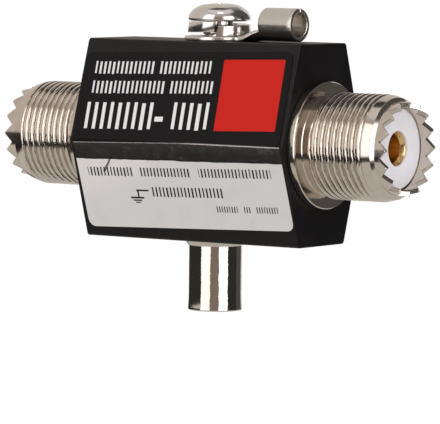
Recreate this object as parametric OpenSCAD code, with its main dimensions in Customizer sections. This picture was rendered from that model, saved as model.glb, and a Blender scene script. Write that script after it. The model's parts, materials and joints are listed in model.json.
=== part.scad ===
// Coax lightning arrestor: a gas tube arrestor in line between two threaded coax sockets.
// X runs along the coax line, Y to the back and Z up. The origin is the middle of the body on the coax axis.

/* [Body] */
// Length of the block along the coax line
body_l = 38.6; // [36:0.1:60]
// Height of the block over its flat top and bottom
body_h = 30; // [27:0.5:40]
// Width of the flat top and of the flat bottom
body_flat_w = 12.2; // [11.5:0.1:16]
// Width over the ridges at half height
body_ridge_w = 21.4; // [20:0.1:30]
// Radius of the block's long edges
body_edge_r = 0.6; // [0.2:0.1:1.5]
// Radius of the coax cavity through the block
cavity_r = 6.3; // [5.8:0.1:6.8]

/* [Label] */
// Margin between the foil label and the block's ends
label_margin = 0.5; // [0.4:0.05:6]
// Margin between the label and the block's flat top, seen from the front
label_top_margin = 1.6; // [1.2:0.1:6]
// Margin between the label and the block's flat bottom, seen from the front
label_bottom_margin = 2.0; // [1.2:0.1:6]
// Thickness of the foil
label_t = 0.12; // [0.08:0.01:0.3]
// Radius of the label's corners
label_corner_r = 1.2; // [0.5:0.1:3]
// Angle at which the label was stuck on
label_turn = 1.7; // [0:0.1:1.8]

/* [Socket shells] */
// Outer radius of the 5/8-24 socket thread
thread_r = 7.9375; // [7.8:0.0125:8.2]
// Length of the full thread
thread_l = 9; // [6:0.1:14]
// Thread grooves per inch
thread_tpi = 24; // [20:1:28]
// Depth of the thread grooves
thread_depth = 0.35; // [0.2:0.01:0.5]
// Width of the crest left between two grooves
thread_land = 0.57; // [0.4:0.01:0.7]
// Radius of the relief groove behind the thread
relief_r = 7.35; // [7.1:0.05:7.6]
// Length of the relief groove
relief_l = 1.1; // [0.5:0.1:2]
// Radius of the flange that seats on the block
flange_r = 9.45; // [8.8:0.05:9.8]
// Thickness of the flange
flange_t = 1.2; // [0.8:0.1:2]
// Bevel on the flange's edges
flange_bevel = 0.12; // [0.05:0.01:0.3]
// Length of the nose in front of the thread
nose_l = 3.5; // [3.2:0.1:5]
// Length of the crowned band between the thread and the chamfer
crown_l = 1.2; // [0.8:0.1:1.4]
// Fall of the crowned band's radius
crown_drop = 0.42; // [0.2:0.02:0.56]
// Length of the chamfer down to the neck
chamfer_l = 0.4; // [0.3:0.05:0.6]
// Outer radius of the toothed neck
neck_r = 6.9; // [6.6:0.05:7.1]
// Number of teeth round the nose
tooth_count = 16; // [12:4:20]
// Depth of the V cuts between the teeth
tooth_depth = 1.22; // [0.8:0.02:1.3]
// Length of the spigot inside the block
spigot_l = 6; // [4:0.1:8]
// Radius of the spigot inside the block
spigot_r = 7.38; // [7.2:0.02:7.5]
// Step from the insulator's seat out to the wall of the toothed mouth
mouth_step = 0.15; // [0.05:0.05:0.3]
// Depth from the tips of the teeth to the insulator's face
recess_depth = 2.15; // [1.8:0.05:3]

/* [Insulators and contacts] */
// Radius of the insulator in its seat
insulator_r = 5.98; // [5.9:0.02:6.1]
// Length of the insulator
insulator_l = 15.3; // [13:0.1:17]
// Thickness of the retaining ring behind the insulator
ring_t = 1.2; // [0.8:0.1:2]
// Inner radius of the retaining ring
ring_hole_r = 4.4; // [3.8:0.1:5]
// Outer radius of the contact's front tube
contact_r = 2.6; // [2.5:0.05:3]
// Radius of the contact's bore for a plug's pin
contact_bore_r = 2.0; // [1.9:0.01:2.1]
// Depth of the contact's bore behind its countersink
contact_bore_l = 10; // [8:0.1:11]
// Radius of the countersink at the contact's mouth
countersink_r = 2.45; // [2.3:0.01:2.5]
// Depth of the countersink
countersink_l = 0.65; // [0.3:0.05:1]
// Distance of the contact's rim behind the insulator's face
contact_setback = 0.3; // [0:0.05:0.8]
// Radius of the shoulder behind the insulator
shoulder_r = 3.3; // [3.1:0.1:3.6]
// Thickness of that shoulder
shoulder_t = 1.0; // [0.6:0.1:1.5]
// Radius of the contact's tail
tail_r = 2.8; // [2.6:0.1:3]
// Length of the contact's tail
tail_l = 3.6; // [3:0.1:5]
// Depth of the socket in the tail
tail_socket_l = 3.2; // [2:0.1:4]
// Radius of the inner conductor
rod_r = 2.0; // [1.8:0.05:2.2]
// Distance of the flat under the inner conductor from its axis
rod_flat_z = 1.5; // [1.2:0.05:1.7]
// Length of that flat
rod_flat_l = 7; // [6:0.1:10]

/* [Gas tube] */
// Radius of the tube's ceramic
tube_r = 2.75; // [2.5:0.05:2.85]
// Length of the ceramic
ceramic_l = 6; // [4:0.1:8]
// Wall of the ceramic
ceramic_wall = 0.75; // [0.5:0.05:1]
// Radius of the electrodes' discs
electrode_r = 2.6; // [2.3:0.05:2.7]
// Thickness of the electrodes' discs
electrode_t = 1.0; // [0.6:0.1:1.5]
// Radius of the electrodes' noses inside the ceramic
electrode_nose_r = 1.3; // [1:0.05:1.6]
// Spark gap between the two noses
spark_gap = 0.8; // [0.5:0.1:1.5]
// Wire radius of the spring under the tube
spring_wire_r = 0.3; // [0.2:0.05:0.4]
// Mean radius of the spring
spring_r = 2.2; // [1.9:0.05:2.4]
// Turns of the spring
spring_turns = 7; // [4:1:10]

/* [Cap] */
// Distance of the cap from the middle of the block, along the coax line
cap_x = 0.25; // [-1:0.05:1]
// Radius of the cap below the block
cap_r = 4.0; // [3.8:0.05:4.4]
// Length of the cap below the block
cap_l = 10.6; // [8:0.1:16]
// Radius of the bevelled collar where it meets the block
collar_r = 4.75; // [4.6:0.05:5.4]
// Radius at the collar's lower rim
collar_low_r = 4.15; // [4.1:0.05:4.5]
// Height of the collar
collar_h = 0.75; // [0.4:0.05:1.5]
// Radius of the cap's M8 fine shank
shank_r = 3.95; // [3.8:0.05:4.1]
// Radius of the cup that holds the spring and the tube
cup_r = 3.0; // [2.9:0.05:3.2]
// Thickness of the cap's end under the cup
cap_end_t = 5.1; // [3:0.1:6]
// Length of the coin slot, closed at both ends, in the cap's end
slot_l = 5.8; // [4:0.1:6.6]
// Width of the coin slot
slot_w = 1.2; // [0.8:0.1:2]
// Depth of the coin slot
slot_depth = 1.4; // [0.8:0.1:2]
// Bevel on the cap's end
cap_bevel = 0.2; // [0.1:0.05:0.6]

/* [Ground screw and lock washer] */
// Distance of the screw from the middle of the block, along the coax line
screw_x = 0.55; // [-1:0.05:1]
// Radius of the M5 screw's shank
screw_r = 2.45; // [2.3:0.05:2.5]
// Length of the screw under its head
screw_l = 8; // [6:0.5:10]
// Radius of the pan head
head_r = 4.7; // [4.4:0.05:5]
// Height of the pan head
head_h = 2.65; // [2.2:0.05:3.2]
// Height of the straight rim of the head
head_rim_h = 0.35; // [0.2:0.05:0.6]
// Radius of the cross recess at the top of the head
recess_r = 2.3; // [1.8:0.1:2.6]
// Depth of the cross recess
recess_h = 1.7; // [1.2:0.1:2]
// Width of the cross recess's arms
recess_w = 0.95; // [0.7:0.05:1.2]
// Space below the screw's end in its hole
screw_hole_spare = 0.6; // [0.3:0.1:1]
// Outer radius of the split lock washer
washer_r = 4.75; // [4.5:0.05:5.2]
// Inner radius of the lock washer
washer_hole_r = 2.7; // [2.6:0.05:3]
// Thickness of the lock washer's wire
washer_t = 1.6; // [0.9:0.05:1.8]
// Rise from the washer's low end to its high end
washer_rise = 0.65; // [0.4:0.05:1.2]
// Direction of the split, seen from above
split_angle = -64; // [-180:1:180]
// Width of the split as an angle
split_gap = 4; // [2:0.5:8]
// Slant of the cut as an angle
split_slant = 4; // [0:0.5:8]

/* [Ground lug] */
// Thickness of the lug's sheet
lug_t = 0.7; // [0.5:0.05:0.9]
// Radius of the lug's ring
lug_r = 5.25; // [4.9:0.05:6]
// Radius of the hole in the ring
lug_hole_r = 2.7; // [2.6:0.05:3]
// Outer radius of the rolled barrel
barrel_r = 2.5; // [2.2:0.05:2.9]
// Distance from the screw to the near end of the barrel
barrel_start = 8.85; // [8:0.05:10]
// Length of the barrel
barrel_l = 6.05; // [5:0.05:9]
// Height of the barrel over the block
barrel_lift = 0.15; // [0.1:0.05:0.6]
// Half the angle of the barrel's wall that the neck holds
neck_half_angle = 66; // [50:1:80]
// Distance from the screw to where the neck starts to curl
neck_start = 5.2; // [5.1:0.1:6]
// Width of the barrel's butt seam
seam_w = 0.14; // [0.1:0.02:0.3]
// Direction of the lug, seen from above
lug_turn = -2.3; // [-180:0.1:180]

/* [Clearances] */
// Radial room of parts that are pressed together
press_gap = 0.02; // [0.01:0.005:0.04]
// Radial room of the screwed parts in their holes
run_gap = 0.05; // [0.02:0.01:0.08]
// Room between the cap's shank and the coax cavity
shank_room = 0.4; // [0.2:0.1:1]

/* [Hidden] */

$fn = 72;
arc_steps = 5;
crown_steps = 4;
crown_power = 1.3;
thread_flank_share = 0.42;
inch = 25.4;
dome_steps = 9;
dome_spread = 2.7;
dome_drop = 0.55;
recess_turn = 45;
spring_rings_per_turn = 14;
spring_sides = 8;
washer_rings = 41;
neck_rings = 9;
neck_cells = 8;
neck_inset = 0.03;
cut = 0.5;

black = [0.10, 0.10, 0.10];
foil = [0.78, 0.78, 0.79];
nickel = [0.74, 0.71, 0.66];
gold = [0.80, 0.58, 0.24];
brass = [0.72, 0.60, 0.35];
white = [0.93, 0.92, 0.94];
ceramic_white = [0.90, 0.86, 0.82];
steel = [0.66, 0.65, 0.64];
tin = [0.74, 0.72, 0.69];

body_end = body_l / 2;
body_top = body_h / 2;
label_end = body_end - label_margin;
label_up = body_top - label_top_margin;
label_down = body_top - label_bottom_margin;
seat_x = body_end + flange_t;
thread_start = seat_x + relief_l + thread_r - relief_r;
thread_end = thread_start + thread_l;
thread_pitch = inch / thread_tpi;
groove_count = floor((thread_l - thread_land) / thread_pitch);
groove_start = thread_start + (thread_l + thread_land - groove_count * thread_pitch) / 2;
tip_x = thread_end + nose_l;
face_x = tip_x - recess_depth;
insulator_back = face_x - insulator_l;
seat_r = insulator_r + press_gap;
mouth_r = seat_r + mouth_step;
contact_front = face_x - contact_setback;
tail_end = insulator_back - shoulder_t - tail_l;
rod_end = tail_end + tail_socket_l - press_gap;
shank_top = -(cavity_r + shank_room);
cup_floor = -(body_top + cap_l) + cap_end_t;
tube_top = -rod_flat_z;
tube_l = ceramic_l + 2 * electrode_t;
tube_bottom = tube_top - tube_l;
lug_top = body_top + lug_t;
head_seat = lug_top + washer_t + washer_rise;
screw_end = head_seat - screw_l;
barrel_z = body_top + barrel_lift + barrel_r;

function unit(v) = v / norm(v);

// Outline of the block's section, in width and height
function block_outline() = [
  [body_flat_w / 2, body_top], [-body_flat_w / 2, body_top], [-body_ridge_w / 2, 0],
  [-body_flat_w / 2, -body_top], [body_flat_w / 2, -body_top], [body_ridge_w / 2, 0]
];

// Unit vector from a corner of an outline to a neighbour
function towards(points, i, step) =
  unit(points[(i + len(points) + step) % len(points)] - points[i]);

// Half of the angle at a corner of an outline
function half_corner(points, i) = acos(towards(points, i, -1) * towards(points, i, 1)) / 2;

// Unit vector that halves the angle at a corner, pointing inwards
function inwards(points, i) = unit(towards(points, i, -1) + towards(points, i, 1));

// Convex outline moved outwards
function grown(points, d) = [
  for (i = [0 : len(points) - 1])
    points[i] - inwards(points, i) * d / sin(half_corner(points, i))
];

// Convex outline, listed counter-clockwise, with round corners
function rounded(points, r) = [
  for (i = [0 : len(points) - 1])
    let (
      half = half_corner(points, i),
      centre = points[i] + inwards(points, i) * r / sin(half),
      start = points[i] + towards(points, i, -1) * r / tan(half) - centre,
      from = atan2(start[1], start[0])
    )
    for (k = [0 : arc_steps])
      let (a = from + (180 - 2 * half) * k / arc_steps)
        centre + r * [cos(a), sin(a)]
];

// Triangles that close one end of a sweep, across from one half of the ring to the other
function end_faces(first, sides) = [
  for (k = [0 : sides / 2 - 2])
    for (f = [[k, k + 1, sides - 1 - k], [k + 1, sides - 2 - k, sides - 1 - k]])
      [first + f[0], first + f[1], first + f[2]]
];

// Triangles of a closed sweep made of rings with the same, even number of points
function sweep_faces(rings, sides) = concat(
  [for (i = [0 : rings - 2]) for (j = [0 : sides - 1])
    [i * sides + j, i * sides + (j + 1) % sides, (i + 1) * sides + j]],
  [for (i = [0 : rings - 2]) for (j = [0 : sides - 1])
    [i * sides + (j + 1) % sides, (i + 1) * sides + (j + 1) % sides, (i + 1) * sides + j]],
  [for (f = end_faces(0, sides)) [f[2], f[1], f[0]]],
  end_faces((rings - 1) * sides, sides)
);

// Extrudes a width and height section along the coax line, centred
module along_x(l) {
  rotate([90, 0, 90]) translate([0, 0, -l / 2]) linear_extrude(l) children();
}

// Turns a radius and length profile about the coax line
module turned(profile) {
  rotate([0, 90, 0]) rotate_extrude() polygon(profile);
}

// Round bar or hole along the coax line
module bar_x(r, from, to) {
  translate([from, 0, 0]) rotate([0, 90, 0]) cylinder(h = to - from, r = r);
}

// A part made for the right end, turned round to the left end
module to_left() {
  mirror([1, 0, 0]) children();
}

module body() {
  color(black) difference() {
    along_x(body_l) polygon(rounded(block_outline(), body_edge_r));
    bar_x(cavity_r, -body_end - cut, body_end + cut);
    for (side = [-1, 1])
      translate([side * (body_end - spigot_l / 2), 0, 0])
        bar_x(spigot_r + press_gap, -spigot_l / 2 - press_gap, spigot_l / 2 + press_gap);
    translate([screw_x, 0, screw_end - screw_hole_spare])
      cylinder(h = body_top - screw_end + screw_hole_spare + cut, r = screw_r + run_gap);
    translate([cap_x, 0, -body_top - cut])
      cylinder(h = body_top + cut, r = shank_r + run_gap);
  }
}

module label() {
  outline = [
    [label_end, label_up], [-label_end, label_up],
    [-label_end, -label_down], [label_end, -label_down]
  ];
  color(foil) intersection() {
    along_x(body_l) difference() {
      polygon(rounded(grown(block_outline(), label_t), body_edge_r + label_t));
      polygon(rounded(block_outline(), body_edge_r));
    }
    rotate([90, 0, 0]) linear_extrude(body_ridge_w) rotate(label_turn)
      polygon(rounded(outline, label_corner_r));
  }
}

// Radius and length points of the thread, cut as rings at its pitch
function thread_rings() = [
  for (k = [0 : groove_count - 1])
    let (
      x = groove_start + k * thread_pitch,
      root_r = thread_r - thread_depth,
      width = thread_pitch - thread_land,
      flank = width * thread_flank_share
    )
      each [[thread_r, x], [root_r, x + flank], [root_r, x + width - flank], [thread_r, x + width]]
];

// Radius and length points of the nose: crowned band, chamfer, straight neck
function nose_curve() = [
  for (k = [0 : crown_steps])
    let (t = k / crown_steps)
      [thread_r - crown_drop * pow(t, crown_power), thread_end + crown_l * t],
  [neck_r, thread_end + crown_l + chamfer_l],
  [neck_r, tip_x]
];

module shell() {
  profile = concat(
    [
      [mouth_r, face_x], [seat_r, face_x],
      [seat_r, body_end - spigot_l], [spigot_r, body_end - spigot_l], [spigot_r, body_end],
      [flange_r - flange_bevel, body_end], [flange_r, body_end + flange_bevel],
      [flange_r, seat_x - flange_bevel], [flange_r - flange_bevel, seat_x],
      [relief_r, seat_x], [relief_r, seat_x + relief_l], [thread_r, thread_start]
    ],
    thread_rings(),
    nose_curve(),
    [[mouth_r, tip_x]]
  );
  notch = [[0, -tooth_depth], [tooth_depth + cut, cut], [-tooth_depth - cut, cut]];
  color(nickel) difference() {
    turned(profile);
    for (k = [0 : tooth_count / 2 - 1])
      rotate([(k + 0.5) * 360 / tooth_count, 0, 0])
        translate([tip_x, 0, 0]) rotate([0, 0, -90])
          linear_extrude(4 * thread_r, center = true) polygon(notch);
  }
}

module right_shell() {
  shell();
}

module left_shell() {
  to_left() shell();
}

module insulator() {
  hole_r = contact_r + press_gap;
  color(white) turned([
    [hole_r, insulator_back], [insulator_r, insulator_back], [insulator_r, face_x], [hole_r, face_x]
  ]);
}

module right_insulator() {
  insulator();
}

module left_insulator() {
  to_left() insulator();
}

module retaining_ring() {
  color(nickel) turned([
    [ring_hole_r, insulator_back - ring_t], [insulator_r, insulator_back - ring_t],
    [insulator_r, insulator_back], [ring_hole_r, insulator_back]
  ]);
}

module right_retaining_ring() {
  retaining_ring();
}

module left_retaining_ring() {
  to_left() retaining_ring();
}

module contact() {
  bore_mouth = contact_front - countersink_l;
  bore_end = bore_mouth - contact_bore_l;
  socket_r = rod_r + press_gap;
  color(gold) turned([
    [0, bore_end], [contact_bore_r, bore_end], [contact_bore_r, bore_mouth],
    [countersink_r, contact_front], [contact_r, contact_front],
    [contact_r, insulator_back], [shoulder_r, insulator_back],
    [shoulder_r, insulator_back - shoulder_t], [tail_r, insulator_back - shoulder_t],
    [tail_r, tail_end], [socket_r, tail_end],
    [socket_r, tail_end + tail_socket_l], [0, tail_end + tail_socket_l]
  ]);
}

module right_contact() {
  contact();
}

module left_contact() {
  to_left() contact();
}

module inner_conductor() {
  color(brass) difference() {
    bar_x(rod_r, -rod_end, rod_end);
    translate([cap_x - rod_flat_l / 2, -rod_r - cut, -rod_r - cut])
      cube([rod_flat_l, 2 * (rod_r + cut), rod_r + cut - rod_flat_z]);
  }
}

module gas_tube_ceramic() {
  color(ceramic_white) translate([cap_x, 0, tube_bottom + electrode_t]) difference() {
    cylinder(h = ceramic_l, r = tube_r);
    translate([0, 0, -cut]) cylinder(h = ceramic_l + 2 * cut, r = tube_r - ceramic_wall);
  }
}

// Electrode with its disc from 0 up to its thickness and its nose above that
module electrode() {
  nose_end = electrode_t + (ceramic_l - spark_gap) / 2;
  color(steel) rotate_extrude() polygon([
    [0, 0], [electrode_r, 0], [electrode_r, electrode_t],
    [electrode_nose_r, electrode_t], [electrode_nose_r, nose_end], [0, nose_end]
  ]);
}

module gas_tube_top_electrode() {
  translate([cap_x, 0, tube_top]) mirror([0, 0, 1]) electrode();
}

module gas_tube_bottom_electrode() {
  translate([cap_x, 0, tube_bottom]) electrode();
}

module tube_spring() {
  rings = spring_turns * spring_rings_per_turn + 1;
  low = cup_floor + spring_wire_r;
  climb = tube_bottom - cup_floor - 2 * spring_wire_r;
  points = [
    for (i = [0 : rings - 1]) for (j = [0 : spring_sides - 1])
      let (
        turn = 360 * i / spring_rings_per_turn,
        side = 360 * j / spring_sides,
        r = spring_r + spring_wire_r * cos(side)
      )
        [r * cos(turn), r * sin(turn), low + climb * i / (rings - 1) + spring_wire_r * sin(side)]
  ];
  color(steel) translate([cap_x, 0, 0]) polyhedron(points, sweep_faces(rings, spring_sides));
}

module tube_cap() {
  end_z = -(body_top + cap_l);
  color(nickel) translate([cap_x, 0, 0]) difference() {
    rotate_extrude() polygon([
      [0, end_z], [cap_r - cap_bevel, end_z], [cap_r, end_z + cap_bevel],
      [cap_r, -body_top - collar_h], [collar_low_r, -body_top - collar_h],
      [collar_r, -body_top], [shank_r, -body_top], [shank_r, shank_top], [0, shank_top]
    ]);
    translate([0, 0, cup_floor]) cylinder(h = shank_top - cup_floor + cut, r = cup_r);
    translate([-slot_l / 2, -slot_w / 2, end_z - cut]) cube([slot_l, slot_w, slot_depth + cut]);
  }
}

module ground_screw() {
  dome_base = head_seat + head_rim_h;
  dome = [
    for (k = [0 : dome_steps])
      let (t = sin(90 * k / dome_steps))
        [head_r * t, dome_base + (head_h - head_rim_h) * pow(1 - pow(t, dome_spread), dome_drop)]
  ];
  arm = [
    [-recess_r, cut], [-recess_r, 0], [-recess_r / 2, -recess_h],
    [recess_r / 2, -recess_h], [recess_r, 0], [recess_r, cut]
  ];
  color(steel) translate([screw_x, 0, 0]) difference() {
    rotate_extrude() polygon(concat(
      dome,
      [[head_r, head_seat], [screw_r, head_seat], [screw_r, screw_end], [0, screw_end]]
    ));
    for (turn = [recess_turn, recess_turn + 90])
      rotate([0, 0, turn]) translate([0, 0, head_seat + head_h]) rotate([90, 0, 0])
        linear_extrude(recess_w, center = true) polygon(arm);
  }
}

module lock_washer() {
  sweep = 360 - split_gap;
  points = [
    for (i = [0 : washer_rings - 1])
      let (
        t = i / (washer_rings - 1),
        low_a = split_angle + split_gap / 2 + sweep * t,
        high_a = low_a + split_slant,
        low_z = lug_top + washer_rise * t,
        high_z = low_z + washer_t
      )
        for (p = [
          [washer_hole_r, low_a, low_z], [washer_r, low_a, low_z],
          [washer_r, high_a, high_z], [washer_hole_r, high_a, high_z]
        ])
          [p[0] * cos(p[1]), p[0] * sin(p[1]), p[2]]
  ];
  color(steel) translate([screw_x, 0, 0]) polyhedron(points, sweep_faces(washer_rings, 4));
}

// Eases a run from 0 to 1
function eased(t) = t * t * (3 - 2 * t);

// Width and height points across the neck's sheet where it is curled by an angle to each side
function neck_section(half, width) =
  let (
    mid_r = width / 2 / (half * PI / 180),
    centre_z = mid_r + lug_t / 2,
    outer_r = mid_r + lug_t / 2 - neck_inset,
    inner_r = mid_r - lug_t / 2 + neck_inset
  )
    concat(
      [for (k = [0 : neck_cells])
        let (a = half * (1 - 2 * k / neck_cells))
          [outer_r * sin(a), centre_z - outer_r * cos(a)]],
      [for (k = [0 : neck_cells])
        let (a = half * (2 * k / neck_cells - 1))
          [inner_r * sin(a), centre_z - inner_r * cos(a)]]
    );

// Neck of the lug: flat inside the ring's edge, curled to fit inside the barrel's wall at its far end
module neck() {
  flat_angle = 0.5;
  root_x = sqrt(pow(lug_r, 2) - pow(barrel_r, 2)) - cut;
  width = 2 * (barrel_r - lug_t / 2) * neck_half_angle * PI / 180;
  stations = concat([root_x], [for (i = [0 : neck_rings - 1])
    neck_start + (barrel_start - neck_start) * i / (neck_rings - 1)], [barrel_start + cut]);
  points = [
    for (x = stations)
      let (
        t = eased(min(1, max(0, (x - neck_start) / (barrel_start - neck_start)))),
        half = flat_angle + (neck_half_angle - flat_angle) * t
      )
        for (p = neck_section(half, width))
          [x, p[0], body_top + p[1] + barrel_lift * t]
  ];
  polyhedron(points, sweep_faces(len(stations), 2 * (neck_cells + 1)));
}

// Rolled barrel of the lug, open at both ends, with its butt seam on top
module barrel() {
  translate([0, 0, barrel_z]) difference() {
    bar_x(barrel_r, barrel_start, barrel_start + barrel_l);
    bar_x(barrel_r - lug_t, barrel_start - cut, barrel_start + barrel_l + cut);
    translate([barrel_start - cut, -seam_w / 2, 0]) cube([barrel_l + 2 * cut, seam_w, barrel_r + cut]);
  }
}

module ground_lug() {
  color(tin) translate([screw_x, 0, 0]) rotate([0, 0, lug_turn]) {
    difference() {
      translate([0, 0, body_top]) cylinder(h = lug_t, r = lug_r);
      translate([0, 0, body_top - cut]) cylinder(h = lug_t + 2 * cut, r = lug_hole_r);
    }
    neck();
    barrel();
  }
}

body();
label();
right_shell();
left_shell();
right_insulator();
left_insulator();
right_retaining_ring();
left_retaining_ring();
right_contact();
left_contact();
inner_conductor();
gas_tube_ceramic();
gas_tube_top_electrode();
gas_tube_bottom_electrode();
tube_spring();
tube_cap();
ground_screw();
lock_washer();
ground_lug();
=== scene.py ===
"""Looks of the coax lightning arrestor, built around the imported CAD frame.

The classes hold their sizes in millimetres and degrees, in the frame of the CAD model: X along the coax line,
Y to the back and Z up. Meshes are written in metres.
"""

from __future__ import annotations

import json
import logging
import math
from dataclasses import dataclass, field
from enum import Enum
from functools import reduce
from typing import Sequence, Union

import bmesh
import bpy
import numpy as np
from mathutils import Matrix, Vector

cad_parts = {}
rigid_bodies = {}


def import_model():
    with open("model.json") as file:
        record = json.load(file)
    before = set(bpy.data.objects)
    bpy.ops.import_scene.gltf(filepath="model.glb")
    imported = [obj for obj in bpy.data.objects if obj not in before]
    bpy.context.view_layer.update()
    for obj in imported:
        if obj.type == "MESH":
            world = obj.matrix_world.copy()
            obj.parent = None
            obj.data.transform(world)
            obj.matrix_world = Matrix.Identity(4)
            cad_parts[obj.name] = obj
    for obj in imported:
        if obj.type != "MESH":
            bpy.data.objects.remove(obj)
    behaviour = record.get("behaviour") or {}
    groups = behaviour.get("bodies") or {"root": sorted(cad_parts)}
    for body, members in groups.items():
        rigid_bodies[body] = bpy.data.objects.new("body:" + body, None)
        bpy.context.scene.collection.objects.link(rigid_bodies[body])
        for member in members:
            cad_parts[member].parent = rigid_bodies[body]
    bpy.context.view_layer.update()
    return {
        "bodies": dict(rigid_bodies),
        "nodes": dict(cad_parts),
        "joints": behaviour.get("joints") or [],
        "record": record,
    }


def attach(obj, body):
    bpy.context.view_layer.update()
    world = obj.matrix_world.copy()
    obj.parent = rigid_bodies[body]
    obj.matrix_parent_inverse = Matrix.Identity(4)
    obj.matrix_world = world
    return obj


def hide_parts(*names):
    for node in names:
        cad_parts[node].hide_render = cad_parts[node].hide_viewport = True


LOG = logging.getLogger("arrestor")
MM = 0.001
Mesh = bpy.types.Mesh
Material = bpy.types.Material
Colour = tuple[float, float, float]
Point = tuple[float, float, float]
Profile = list[tuple[float, float]]


class Axis(Enum):
    """Line about which a piece is turned."""

    COAX = "coax line"
    UPRIGHT = "upright"


class Side(Enum):
    """End of the block that a socket is on."""

    RIGHT = "right"
    LEFT = "left"


# Shader nodes


class Wire:
    """An output socket of a shader, with the arithmetic that adds Math nodes."""

    def __init__(self, graph: Graph, socket: bpy.types.NodeSocket | None) -> None:
        """Wraps a socket of a graph."""
        self.graph = graph
        self.socket = socket

    def out(self, key: Union[int, str]) -> Wire:
        """Another output of the same node."""
        return Wire(self.graph, self.socket.node.outputs[key])

    def _math(self, operation: str, *values: Value) -> Wire:
        """A Math node on the given values."""
        return self.graph.node("ShaderNodeMath", {"operation": operation}, dict(enumerate(values)))

    def __add__(self, other: Value) -> Wire:
        """Sum."""
        return self._math("ADD", self, other)

    def __radd__(self, other: float) -> Wire:
        """Sum with a number on the left."""
        return self._math("ADD", other, self)

    def __sub__(self, other: Value) -> Wire:
        """Difference."""
        return self._math("SUBTRACT", self, other)

    def __rsub__(self, other: float) -> Wire:
        """Difference with a number on the left."""
        return self._math("SUBTRACT", other, self)

    def __mul__(self, other: Value) -> Wire:
        """Product."""
        return self._math("MULTIPLY", self, other)

    def __rmul__(self, other: float) -> Wire:
        """Product with a number on the left."""
        return self._math("MULTIPLY", other, self)

    def __truediv__(self, other: Value) -> Wire:
        """Quotient."""
        return self._math("DIVIDE", self, other)

    def __rtruediv__(self, other: float) -> Wire:
        """Quotient with a number on the left."""
        return self._math("DIVIDE", other, self)

    def __pow__(self, power: float) -> Wire:
        """Power."""
        return self._math("POWER", self, power)

    def size(self) -> Wire:
        """Value without its sign."""
        return self._math("ABSOLUTE", self)

    def least(self, other: Value) -> Wire:
        """Smaller of two values."""
        return self._math("MINIMUM", self, other)

    def most(self, other: Value) -> Wire:
        """Larger of two values."""
        return self._math("MAXIMUM", self, other)

    def part(self) -> Wire:
        """What is left over above the next lower whole number."""
        return self._math("FRACT", self)

    def whole(self) -> Wire:
        """Next lower whole number."""
        return self._math("FLOOR", self)

    def rise(self, low: float, high: float) -> Wire:
        """Eased step from 0 at a low value to 1 at a high one."""
        return self.graph.node(
            "ShaderNodeMapRange",
            {"interpolation_type": "SMOOTHSTEP"},
            {0: self, 1: low, 2: high, 3: 0.0, 4: 1.0},
        )

    def within(self, low: float, high: float, soft: float) -> Wire:
        """1 between two values and 0 outside, with soft edges on both sides."""
        inside = (high - low) / 2 - (self - (low + high) / 2).size()
        return inside.rise(-soft / 2, soft / 2)


Value = Union[float, Wire]
Paint = Union[Colour, Wire]


class Graph:
    """Node tree of a material or of the world, with short ways to add nodes."""

    def __init__(self, tree: bpy.types.NodeTree) -> None:
        """Empties a node tree to fill it anew."""
        self.tree = tree
        tree.nodes.clear()

    def node(self, kind: str, settings: dict | None = None, inputs: dict | None = None) -> Wire:
        """Adds a node.

        Args:
            kind: Blender's type of the node.
            settings: Attributes of the node, which are set first.
            inputs: Values or wires by the index or name of the socket.

        Returns:
            The node's first output, if it has any.
        """
        made = self.tree.nodes.new(kind)
        for key, value in (settings or {}).items():
            setattr(made, key, value)
        for key, value in (inputs or {}).items():
            if isinstance(value, Wire):
                self.tree.links.new(value.socket, made.inputs[key])
            else:
                made.inputs[key].default_value = value
        return Wire(self, made.outputs[0] if made.outputs else None)

    def place(self) -> tuple[Wire, Wire, Wire, Wire]:
        """Place on the piece in millimetres.

        Returns:
            The vector and its X, Y and Z.
        """
        point = self.node("ShaderNodeTexCoord").out("Object")
        scaled = self.node("ShaderNodeVectorMath", {"operation": "SCALE"}, {0: point, "Scale": 1 / MM})
        split = self.node("ShaderNodeSeparateXYZ", inputs={0: scaled})
        return scaled, split, split.out(1), split.out(2)

    def noise(self, vector: Wire, scale: float, detail: float = 2.0, rough: float = 0.5) -> Wire:
        """Noise in space, from about 0.25 to 0.75."""
        return self.node(
            "ShaderNodeTexNoise",
            {"noise_dimensions": "3D"},
            {"Vector": vector, "Scale": scale, "Detail": detail, "Roughness": rough},
        )

    def lines(self, along: Wire, scale: float, detail: float = 2.0) -> Wire:
        """Noise along one value only, so that it makes lines."""
        return self.node(
            "ShaderNodeTexNoise",
            {"noise_dimensions": "1D"},
            {"W": along, "Scale": scale, "Detail": detail, "Roughness": 0.6},
        )

    def blend(self, factor: Value, first: Paint, second: Paint) -> Wire:
        """Colour between two colours."""
        ends = [colour if isinstance(colour, Wire) else (*colour, 1.0) for colour in (first, second)]
        return self.node(
            "ShaderNodeMix", {"data_type": "RGBA"}, {0: factor, 6: ends[0], 7: ends[1]}
        ).out(2)

    def bump(self, height: Wire, depth: float = 1.0) -> Wire:
        """Normal of a surface with a height in millimetres times a depth."""
        return self.node("ShaderNodeBump", inputs={"Distance": depth * MM, "Height": height})

    def surface(self, **sockets: Value) -> None:
        """Adds the surface shader and the output.

        Args:
            sockets: Values or wires by socket name, with _ for a space.
        """
        inputs = {key.replace("_", " "): value for key, value in sockets.items()}
        shader = self.node("ShaderNodeBsdfPrincipled", inputs=inputs)
        self.node("ShaderNodeOutputMaterial", inputs={"Surface": shader})


# Finishes


@dataclass(frozen=True)
class Finish:
    """A finish with its own material."""

    name: str

    def material(self) -> Material:
        """Makes the material."""
        made = bpy.data.materials.new(self.name)
        made.use_nodes = True
        self.paint(Graph(made.node_tree))
        return made

    def paint(self, graph: Graph) -> None:
        """Fills the material's graph."""
        raise NotImplementedError


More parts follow.
